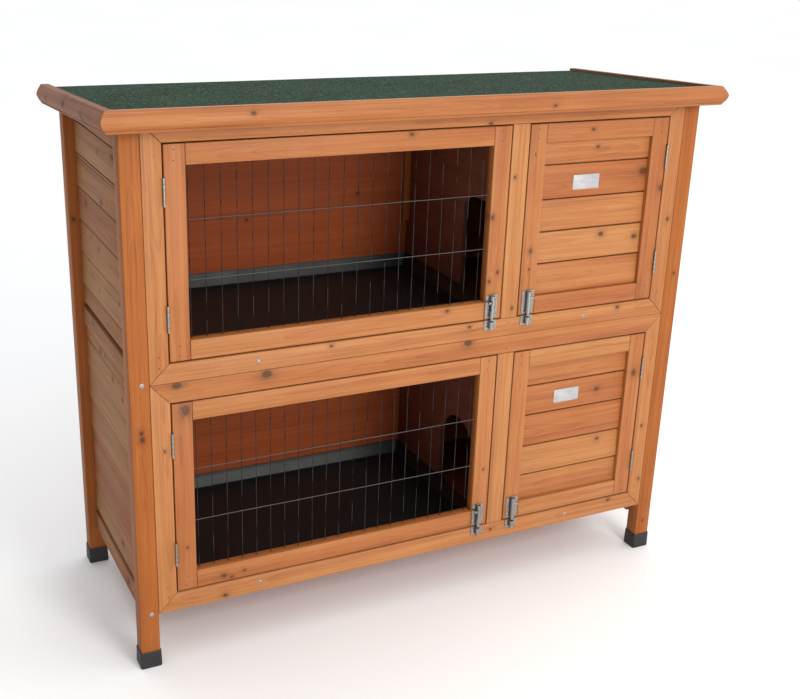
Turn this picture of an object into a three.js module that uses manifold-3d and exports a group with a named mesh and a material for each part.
// Two-storey timber hutch for small animals: a wire-fronted run beside a boarded nest box on each
// floor, four outward-opening doors on butt hinges with drop bolts, and a felted roof that slopes back.
// Millimetres, +Z up. X runs along the front, +Y points to the back.
// Origin: centre of the footprint of the whole object, on the ground.

import * as THREE from 'three';
import { mergeVertices } from 'three/addons/utils/BufferGeometryUtils.js';
import Module from 'manifold-3d';

const wasm = await Module();
wasm.setup();

// ---- Driving dimensions ---------------------------------------------------------------------

const GAP = 0.3; // between any two neighbouring pieces
const PAST = 1; // how far a cutter runs past the face it cuts

const bodyWidth = 1166; // over the posts
const bodyDepth = 446;
const roofDepth = 517;
const roofFrontOverhang = 41.2;
const roofSideOverhang = 34;
const roofHeight = 1038.7;
const roofSlope = THREE.MathUtils.degToRad(3.4); // falls to the back

const left = -bodyWidth / 2;
const right = bodyWidth / 2;
const front = -roofDepth / 2 + roofFrontOverhang;
const back = front + bodyDepth;

const post = { width: 35.5, depth: 32, bottom: 3.3 };
const foot = { wall: 2, height: 34.5 };

// The two floors. Heights are above the ground, but meshRails and nestJoints are above the bottom edge
// of the doors, and a doorway's from and to are depths behind the front. A meshShift is how far the
// upright wires sit off the middle of their door.
const tiers = [
  {
    name: 'lower',
    frameBottom: 111,
    openBottom: 147.5,
    frameTop: 564.3,
    railTop: 120,
    meshRails: [135.5, 238.5],
    meshShift: -2,
    nestJoints: [90, 156, 226, 291],
    sideJoints: [188, 254, 320, 386, 452, 518],
    doorway: { from: 80, to: 228, top: 326, corner: 74 },
  },
  {
    name: 'upper',
    frameBottom: 564.7,
    openBottom: 600,
    frameTop: roofHeight,
    railTop: 582,
    meshRails: [140, 244.5],
    meshShift: -4.5,
    nestJoints: [97, 161, 225, 292],
    sideJoints: [628, 693, 758, 823, 888, 950],
    doorway: { from: 38, to: 180, top: 812, corner: 38 },
  },
];
const openHeight = 379.5;

const frame = { depth: 20, stile: 35 };
const centreStile = { from: 149.2, to: 186.2 }; // X of its two edges

const door = {
  depth: 20, member: 36.5, rail: 35.5, hingeGap: 2.5, closeGap: 2.2, topGap: 2.5, bottomGap: 3,
};
const mesh = {
  wires: 21, pitch: 28.2, wire: 1.8, weld: 0.35, groove: 4, grooveDepth: 8, inGroove: 6, setBack: 8,
};
const boards = { joint: 3, jointDepth: 3 };
const sideBoards = { recess: 19, thickness: 11, aboveRail: 11 };
const nestBoards = { recess: 7, thickness: 9 };

const sideRail = { recess: 17, thickness: 24, height: 38 };
const floorThickness = 6;
const tray = { height: 31, wall: 2, base: 2, clearance: 1.5 };
const partition = { from: 157, thickness: 10 };
const batten = { size: 14.5, from: 697, to: 975 };
const backPanel = { inner: 430, sheet: 6, frame: 35 }; // inner face measured from the front

const fascia = { height: 36.2, thickness: 23, nose: 9, roundness: 1.5 };
const felt = { below: 5, thickness: 2.5, lip: 15.5 }; // below the fascia's top edge
const deckThickness = 12;

const hinge = { knuckle: 2.2, height: 48, leaf: 0.9, leafDepth: 16, standOff: 2.6, fromEnd: 78 };
const latch = {
  plate: { width: 26, height: 46, thickness: 1.2, aboveDoorEdge: 4 },
  keeper: { height: 19, aboveOpening: 1.5, loop: 15 },
  barrel: { outer: 4.6, bore: 3.2, standOff: 5.8, inset: 1 },
  rod: { radius: 2.9, length: 49, tipGap: 0.6 },
  knob: { neck: 2.4, ball: 3, reach: 9, height: 32, turn: THREE.MathUtils.degToRad(20) },
  travel: 14,
};

// ---- Colours --------------------------------------------------------------------------------

const finish = {
  frontTimber: { color: 0xd18a56, roughness: 0.55, metalness: 0 },
  postTimber: { color: 0xc4703f, roughness: 0.55, metalness: 0 },
  sideTimber: { color: 0x9a7656, roughness: 0.65, metalness: 0 },
  innerTimber: { color: 0x6e3220, roughness: 0.75, metalness: 0 },
  felt: { color: 0x46664f, roughness: 0.95, metalness: 0 },
  blackPlastic: { color: 0x26282a, roughness: 0.6, metalness: 0 },
  zinc: { color: 0xc4c6c8, roughness: 0.35, metalness: 0.9 },
  wire: { color: 0x8f908c, roughness: 0.45, metalness: 0.8 },
};

const hutch = new THREE.Group();

function addPiece(name, geometry, look, parent = hutch) {
  const piece = new THREE.Mesh(geometry, new THREE.MeshStandardMaterial(finish[look]));
  piece.name = name;
  parent.add(piece);
  return piece;
}

// ---- Shape helpers --------------------------------------------------------------------------

function block(x0, x1, y0, y1, z0, z1) {
  const box = new THREE.BoxGeometry(x1 - x0, y1 - y0, z1 - z0);
  return box.translate((x0 + x1) / 2, (y0 + y1) / 2, (z0 + z1) / 2);
}

function outline(points) {
  return new THREE.Shape(points.map(([u, v]) => new THREE.Vector2(u, v)));
}

const alongX = new THREE.Matrix4().makeBasis(
  new THREE.Vector3(0, 1, 0),
  new THREE.Vector3(0, 0, 1),
  new THREE.Vector3(1, 0, 0),
);
const alongY = new THREE.Matrix4().makeBasis(
  new THREE.Vector3(1, 0, 0),
  new THREE.Vector3(0, 0, 1),
  new THREE.Vector3(0, -1, 0),
);

// A (y, z) outline drawn out along X.
function prismX(shape, x0, x1) {
  const options = { depth: x1 - x0, bevelEnabled: false, curveSegments: 10 };
  return new THREE.ExtrudeGeometry(shape, options).applyMatrix4(alongX).translate(x0, 0, 0);
}

// An (x, z) outline drawn out along Y.
function prismY(shape, y0, y1) {
  const solid = new THREE.ExtrudeGeometry(shape, { depth: y1 - y0, bevelEnabled: false });
  return solid.applyMatrix4(alongY).translate(0, y1, 0);
}

function rodZ(radius, x, y, z0, z1, sides = 16) {
  const rod = new THREE.CylinderGeometry(radius, radius, z1 - z0, sides);
  return rod.rotateX(Math.PI / 2).translate(x, y, (z0 + z1) / 2);
}

function toSolid(geometry) {
  const bare = geometry.clone();
  bare.deleteAttribute('normal');
  bare.deleteAttribute('uv');
  const merged = mergeVertices(bare, 1e-4);
  const part = new wasm.Mesh({
    numProp: 3,
    vertProperties: new Float32Array(merged.attributes.position.array),
    triVerts: new Uint32Array(merged.index.array),
  });
  return new wasm.Manifold(part);
}

function toGeometry(solid) {
  const part = solid.getMesh();
  const geometry = new THREE.BufferGeometry();
  geometry.setAttribute('position', new THREE.BufferAttribute(part.vertProperties, 3));
  geometry.setIndex(new THREE.BufferAttribute(part.triVerts, 1));
  geometry.computeVertexNormals();
  return geometry;
}

function join(geometries) {
  return geometries.map(toSolid).reduce((whole, piece) => whole.add(piece));
}

function cut(solid, geometries) {
  return geometries.map(toSolid).reduce((rest, piece) => rest.subtract(piece), solid);
}

// ---- Roof -----------------------------------------------------------------------------------

// The roof is drawn flat in its own group: y = 0 at the foremost point of the front fascia, z = 0 at
// the fascias' top edge. The group is then tilted back and set at its height.
const roof = new THREE.Group();
const noseDrop = (fascia.height / 2) * Math.sin(roofSlope);
roof.position.set(0, -roofDepth / 2 + noseDrop, roofHeight + fascia.nose * Math.sin(roofSlope));
roof.rotation.x = -roofSlope;
roof.updateMatrixWorld(true);
hutch.add(roof);

const roofLength = (roofDepth - noseDrop) / Math.cos(roofSlope);
const roofHalfWidth = bodyWidth / 2 + roofSideOverhang;
const deckHalfWidth = roofHalfWidth - fascia.thickness - GAP;
const feltTop = -felt.below;
const deckTop = feltTop - felt.thickness - GAP;
const deckBottom = deckTop - deckThickness;

// Section of a fascia: a flat top and bottom with a bowed face between. Place turns the depth behind
// the fascia's nose into the section's own first coordinate. A roundness of 1 gives a sharp ridge.
function fasciaSection(place) {
  const steps = 6;
  const points = [[fascia.thickness, 0], [fascia.thickness, -fascia.height]];
  for (let i = 0; i <= steps; i += 1) {
    const share = (2 * i) / steps - 1;
    points.push([fascia.nose * Math.abs(share) ** fascia.roundness, (fascia.height / 2) * (share - 1)]);
  }
  return outline(points.map(([depth, z]) => [place(depth), z]));
}

// The front board is drawn one unit to each side of the middle. Each fascia's mitred end is made by
// moving its end vertices in by their own depth behind the nose.
function addFascias() {
  const frontBoard = prismX(fasciaSection((depth) => depth), -1, 1);
  const frontPoints = frontBoard.attributes.position;
  for (let i = 0; i < frontPoints.count; i += 1) {
    const halfLength = roofHalfWidth - frontPoints.getY(i) - GAP * Math.SQRT2;
    frontPoints.setX(i, Math.sign(frontPoints.getX(i)) * halfLength);
  }
  addPiece('fascia_front', frontBoard, 'frontTimber', roof);

  for (const [name, side] of [['fascia_left', -1], ['fascia_right', 1]]) {
    const board = prismY(fasciaSection((depth) => side * (roofHalfWidth - depth)), 0, roofLength);
    const points = board.attributes.position;
    for (let i = 0; i < points.count; i += 1) {
      const depth = roofHalfWidth - Math.abs(points.getX(i));
      points.setY(i, Math.max(points.getY(i), depth));
    }
    addPiece(name, board, 'frontTimber', roof);
  }
}

function addDeckAndFelt() {
  const deckFront = fascia.thickness + GAP;
  const deckBack = roofLength - felt.thickness - GAP;
  const deck = block(-deckHalfWidth, deckHalfWidth, deckFront, deckBack, deckBottom, deckTop);
  addPiece('roof_deck', deck, 'innerTimber', roof);

  const feltSection = outline([
    [deckFront, feltTop],
    [deckFront, deckTop + GAP],
    [deckBack + GAP, deckTop + GAP],
    [deckBack + GAP, feltTop - felt.lip],
    [roofLength, feltTop - felt.lip],
    [roofLength, feltTop],
  ]);
  addPiece('roof_felt', prismX(feltSection, -deckHalfWidth, deckHalfWidth), 'felt', roof);
}

// Cuts a solid off just below the sloping underside of the roof deck.
function trimUnderRoof(solid) {
  const z0 = deckBottom - GAP;
  const above = block(-roofHalfWidth, roofHalfWidth, -roofDepth, 2 * roofDepth, z0, bodyWidth);
  return solid.subtract(toSolid(above.applyMatrix4(roof.matrixWorld)));
}

// ---- Posts and feet -------------------------------------------------------------------------

function addPosts() {
  for (const [sideName, side] of [['left', -1], ['right', 1]]) {
    for (const [endName, y0] of [['front', front], ['back', back - post.depth]]) {
      const outer = side * right;
      const inner = side * (right - post.width);
      const x0 = Math.min(outer, inner);
      const x1 = Math.max(outer, inner);
      const y1 = y0 + post.depth;

      const timber = toSolid(block(x0, x1, y0, y1, post.bottom, roofHeight + post.width));
      addPiece(`post_${endName}_${sideName}`, toGeometry(trimUnderRoof(timber)), 'postTimber');

      const over = GAP + foot.wall;
      const cup = toSolid(block(x0 - over, x1 + over, y0 - over, y1 + over, 0, foot.height));
      const socket = block(x0 - GAP, x1 + GAP, y0 - GAP, y1 + GAP, post.bottom - GAP, 2 * foot.height);
      addPiece(`foot_${endName}_${sideName}`, toGeometry(cut(cup, [socket])), 'blackPlastic');
    }
  }
}

// ---- Sides, back, floors and partitions -----------------------------------------------------

// Section of a boarded panel with a groove at each board joint. Place turns the depth behind the
// panel's face into the section's own first coordinate.
function boardedSection(z0, z1, joints, thickness, place) {
  const points = [[thickness, z1], [thickness, z0], [0, z0]];
  for (const z of joints) {
    points.push([0, z - boards.joint / 2], [boards.jointDepth, z], [0, z + boards.joint / 2]);
  }
  points.push([0, z1]);
  return outline(points.map(([depth, z]) => [place(depth), z]));
}

function floorTop(tier) {
  return tier.railTop + GAP + floorThickness;
}

function addSides(tier, tierAbove) {
  const y0 = front + post.depth + GAP;
  const y1 = back - post.depth - GAP;
  const z0 = tier.railTop + sideBoards.aboveRail;
  const z1 = tierAbove ? tierAbove.railTop - sideRail.height - GAP : roofHeight;

  for (const [sideName, side] of [['left', -1], ['right', 1]]) {
    const place = (depth) => side * (right - sideBoards.recess - depth);
    const section = boardedSection(z0, z1, tier.sideJoints, sideBoards.thickness, place);
    const panel = toSolid(prismY(section, y0, y1));
    addPiece(`side_boards_${sideName}_${tier.name}`, toGeometry(trimUnderRoof(panel)), 'sideTimber');

    const outer = side * (right - sideRail.recess);
    const inner = outer - side * sideRail.thickness;
    const railBottom = tier.railTop - sideRail.height;
    const rail = block(Math.min(outer, inner), Math.max(outer, inner), y0, y1, railBottom, tier.railTop);
    addPiece(`side_rail_${sideName}_${tier.name}`, rail, 'sideTimber');
  }
}

function addBackPanel(tier, tierAbove) {
  const x0 = left + post.width + GAP;
  const x1 = -x0;
  const z0 = tier.railTop - (tierAbove ? sideRail.height : -GAP);
  const z1 = tierAbove ? tierAbove.railTop : roofHeight;
  const sheetFront = front + backPanel.inner;
  const sheetBack = sheetFront + backPanel.sheet;
  const frameTop = tierAbove ? z1 : roof.position.z + deckBottom - Math.tan(roofSlope) * roofDepth;

  const sheet = block(x0, x1, sheetFront, sheetBack, z0, z1);
  const rails = block(x0, x1, sheetBack - PAST, back, z0, z1);
  const edge = backPanel.frame;
  const window = block(x0 + edge, x1 - edge, sheetBack, back + PAST, z0 + edge, frameTop - edge);
  const panel = toSolid(sheet).add(cut(toSolid(rails), [window]));
  addPiece(`back_panel_${tier.name}`, toGeometry(trimUnderRoof(panel)), 'innerTimber');
}

function addFloorAndTray(tier) {
  const x0 = left + post.width + GAP;
  const y0 = front + frame.depth + GAP;
  const y1 = front + backPanel.inner - GAP;
  const top = floorTop(tier);
  addPiece(`floor_${tier.name}`, block(x0, -x0, y0, y1, top - floorThickness, top), 'innerTimber');

  const { clearance, wall } = tray;
  const [tx0, tx1] = [x0 + clearance, partition.from - clearance];
  const [ty0, ty1] = [y0 + clearance, y1 - clearance];
  const z0 = top + GAP;
  const z1 = z0 + tray.height;
  const shell = toSolid(block(tx0, tx1, ty0, ty1, z0, z1));
  const hollow = block(tx0 + wall, tx1 - wall, ty0 + wall, ty1 - wall, z0 + tray.base, z1 + PAST);
  addPiece(`tray_${tier.name}`, toGeometry(cut(shell, [hollow])), 'blackPlastic');
}

// The doorway between run and nest is open at the foot and has rounded upper corners.
function addPartition(tier, tierAbove) {
  const { from, to, top, corner } = tier.doorway;
  const y0 = front + frame.depth + GAP;
  const y1 = front + backPanel.inner - GAP;
  const z0 = floorTop(tier) + GAP;
  const z1 = tierAbove ? tierAbove.railTop : roofHeight;
  const near = front + from;
  const far = front + to;

  const shape = new THREE.Shape();
  shape.moveTo(y0, z0);
  shape.lineTo(near, z0);
  shape.lineTo(near, top - corner);
  shape.absarc(near + corner, top - corner, corner, Math.PI, Math.PI / 2, true);
  shape.absarc(far - corner, top - corner, corner, Math.PI / 2, 0, true);
  shape.lineTo(far, z0);
  shape.lineTo(y1, z0);
  shape.lineTo(y1, z1);
  shape.lineTo(y0, z1);
  const wall = toSolid(prismX(shape, partition.from, partition.from + partition.thickness));
  addPiece(`partition_${tier.name}`, toGeometry(trimUnderRoof(wall)), 'innerTimber');
}

function addPartitionBatten() {
  const x1 = partition.from - GAP;
  const y1 = front + backPanel.inner - GAP;
  const strip = block(x1 - batten.size, x1, y1 - batten.size, y1, batten.from, batten.to);
  addPiece('partition_batten', strip, 'sideTimber');
}

// ---- Front frames ---------------------------------------------------------------------------

function addFrontFrame(tier) {
  const x0 = left + post.width + GAP;
  const y1 = front + frame.depth;
  const openTop = tier.openBottom + openHeight;
  const openings = [
    [left + post.width + frame.stile, centreStile.from],
    [centreStile.to, right - post.width - frame.stile],
  ].map(([from, to]) => block(from, to, front - PAST, y1 + PAST, tier.openBottom, openTop));
  const timber = toSolid(block(x0, -x0, front, y1, tier.frameBottom, tier.frameTop));
  addPiece(`front_frame_${tier.name}`, toGeometry(trimUnderRoof(cut(timber, openings))), 'frontTimber');
}

// ---- Doors ----------------------------------------------------------------------------------

// hingeSide is -1 where the door hangs on its left edge and 1 where it hangs on its right edge.
const doorways = [
  {
    name: 'run',
    hingeSide: -1,
    x0: left + post.width + frame.stile + door.hingeGap,
    x1: centreStile.from - door.closeGap,
    latchX: 125,
  },
  {
    name: 'nest',
    hingeSide: 1,
    x0: centreStile.to + door.closeGap,
    x1: right - post.width - frame.stile - door.hingeGap,
    latchX: 207.5,
  },
];

function addDoorFrame(tier, way, z0, z1) {
  const { x0, x1 } = way;
  const { member, rail } = door;
  const y1 = front + door.depth;
  const opening = block(x0 + member, x1 - member, front - PAST, y1 + PAST, z0 + rail, z1 - rail);
  let timber = cut(toSolid(block(x0, x1, front, y1, z0, z1)), [opening]);
  if (way.name === 'run') {
    const y0 = front + mesh.setBack;
    const reach = mesh.grooveDepth;
    const [across, up] = [member - reach, rail - reach];
    const groove = block(x0 + across, x1 - across, y0, y0 + mesh.groove, z0 + up, z1 - up);
    timber = cut(timber, [groove]);
  }
  addPiece(`${way.name}_door_frame_${tier.name}`, toGeometry(timber), 'frontTimber');
}

// Upright wires behind two cross wires, welded where they meet. Their ends sit in the door's groove.
function addMesh(tier, way, z0, z1) {
  const x0 = way.x0 + door.member - mesh.inGroove;
  const x1 = way.x1 - door.member + mesh.inGroove;
  const bottom = z0 + door.rail - mesh.inGroove;
  const top = z1 - door.rail + mesh.inGroove;
  const crossY = front + mesh.setBack + GAP;
  const uprightY = crossY + mesh.wire - mesh.weld;
  const middle = (x0 + x1) / 2 + tier.meshShift;

  const wires = tier.meshRails.map((height) => {
    const z = z0 + height;
    return block(x0, x1, crossY, crossY + mesh.wire, z - mesh.wire / 2, z + mesh.wire / 2);
  });
  for (let i = 0; i < mesh.wires; i += 1) {
    const x = middle + (i - (mesh.wires - 1) / 2) * mesh.pitch;
    wires.push(block(x - mesh.wire / 2, x + mesh.wire / 2, uprightY, uprightY + mesh.wire, bottom, top));
  }
  addPiece(`${way.name}_door_mesh_${tier.name}`, toGeometry(join(wires)), 'wire');
}

function addNestBoards(tier, way, z0, z1) {
  const place = (depth) => front + nestBoards.recess + depth;
  const bottom = z0 + door.rail + GAP;
  const top = z1 - door.rail - GAP;
  const joints = tier.nestJoints.map((height) => z0 + height);
  const section = boardedSection(bottom, top, joints, nestBoards.thickness, place);
  const panel = prismX(section, way.x0 + door.member + GAP, way.x1 - door.member - GAP);
  addPiece(`${way.name}_door_boards_${tier.name}`, panel, 'frontTimber');
}

// One leaf on the front frame's inner edge, with the knuckle that the door turns on.
function addHinges(tier, way, z0, z1) {
  const edge = way.hingeSide < 0 ? way.x0 : way.x1;
  const axisX = edge + (way.hingeSide * door.hingeGap) / 2;
  const axisY = front - hinge.standOff;
  const frameSide = edge + way.hingeSide * (door.hingeGap - GAP);
  const leafSide = frameSide - way.hingeSide * hinge.leaf;

  for (const [endName, z] of [['bottom', z0 + hinge.fromEnd], ['top', z1 - hinge.fromEnd]]) {
    const bottom = z - hinge.height / 2;
    const top = z + hinge.height / 2;
    const knuckle = rodZ(hinge.knuckle, axisX, axisY, bottom, top, 12);
    const [leafX0, leafX1] = [Math.min(frameSide, leafSide), Math.max(frameSide, leafSide)];
    const leaf = block(leafX0, leafX1, axisY, front + hinge.leafDepth, bottom, top);
    addPiece(`hinge_${way.name}_${tier.name}_${endName}`, toGeometry(join([knuckle, leaf])), 'zinc');
  }
}

// ---- Drop bolts -----------------------------------------------------------------------------

// Each bolt slides down from the door into a keeper on the frame below. It is drawn here; the knob
// points to the hinge side and slightly forwards.
function addLatch(tier, way, doorBottom) {
  const { plate, keeper, barrel, rod, knob, travel } = latch;
  const x = way.latchX;
  const plateBack = front - GAP;
  const axisY = front - barrel.standOff;
  const plateBottom = doorBottom + plate.aboveDoorEdge;
  const plateTop = plateBottom + plate.height;
  const keeperTop = tier.openBottom + keeper.aboveOpening;
  const rodBottom = keeperTop + rod.tipGap;
  const knobZ = rodBottom + knob.height + rod.tipGap + plate.aboveDoorEdge;
  const label = `${way.name}_${tier.name}`;

  const slotWidth = 2 * (knob.neck + GAP);
  const slotBottom = knobZ - travel - slotWidth / 2;
  const slotTop = knobZ + slotWidth / 2;
  const slot = new THREE.BoxGeometry(2 * barrel.outer, slotWidth, slotTop - slotBottom);
  slot.translate(barrel.outer, 0, 0);
  aimKnob(slot, way.hingeSide);
  slot.translate(x, axisY, (slotBottom + slotTop) / 2);
  const [x0, x1] = [x - plate.width / 2, x + plate.width / 2];
  const plateFace = plateBack - plate.thickness;
  const backing = block(x0, x1, plateFace, plateBack, plateBottom, plateTop);
  const tube = rodZ(barrel.outer, x, axisY, plateBottom + barrel.inset, plateTop - barrel.inset);
  const bore = rodZ(barrel.bore, x, axisY, plateBottom - PAST, plateTop + PAST);
  const body = cut(join([backing, tube]), [bore, slot]);
  addPiece(`latch_plate_${label}`, toGeometry(body), 'zinc');

  const neck = new THREE.CylinderGeometry(knob.neck, knob.neck, knob.reach, 12);
  neck.rotateZ(Math.PI / 2).translate(knob.reach / 2, 0, 0);
  const ball = new THREE.SphereGeometry(knob.ball, 12, 8);
  ball.translate(knob.reach, 0, 0);
  for (const piece of [neck, ball]) {
    aimKnob(piece, way.hingeSide);
    piece.translate(x, axisY, knobZ);
  }
  const bar = rodZ(rod.radius, x, axisY, rodBottom, rodBottom + rod.length);
  addPiece(`latch_bolt_${label}`, toGeometry(join([bar, neck, ball])), 'zinc');

  const keeperBottom = keeperTop - keeper.height;
  const seat = block(x0, x1, plateFace, plateBack, keeperBottom, keeperTop);
  const loopBottom = keeperTop - (keeper.height + keeper.loop) / 2;
  const loop = rodZ(barrel.outer, x, axisY, loopBottom, loopBottom + keeper.loop);
  const hole = rodZ(barrel.bore, x, axisY, keeperBottom - PAST, keeperTop + PAST);
  addPiece(`latch_keeper_${label}`, toGeometry(cut(join([seat, loop]), [hole])), 'zinc');
}

// Turns a shape that points along +X to the side that the knob points to.
function aimKnob(geometry, side) {
  geometry.rotateZ(side < 0 ? Math.PI + latch.knob.turn : -latch.knob.turn);
}

// ---- Assembly -------------------------------------------------------------------------------

addFascias();
addDeckAndFelt();
addPosts();

tiers.forEach((tier, index) => {
  const tierAbove = tiers[index + 1];
  addSides(tier, tierAbove);
  addBackPanel(tier, tierAbove);
  addFloorAndTray(tier);
  addPartition(tier, tierAbove);
  addFrontFrame(tier);

  const doorBottom = tier.openBottom + door.bottomGap;
  const doorTop = tier.openBottom + openHeight - door.topGap;
  for (const way of doorways) {
    addDoorFrame(tier, way, doorBottom, doorTop);
    addHinges(tier, way, doorBottom, doorTop);
    addLatch(tier, way, doorBottom);
  }
  addMesh(tier, doorways[0], doorBottom, doorTop);
  addNestBoards(tier, doorways[1], doorBottom, doorTop);
});
addPartitionBatten();

export default hutch;
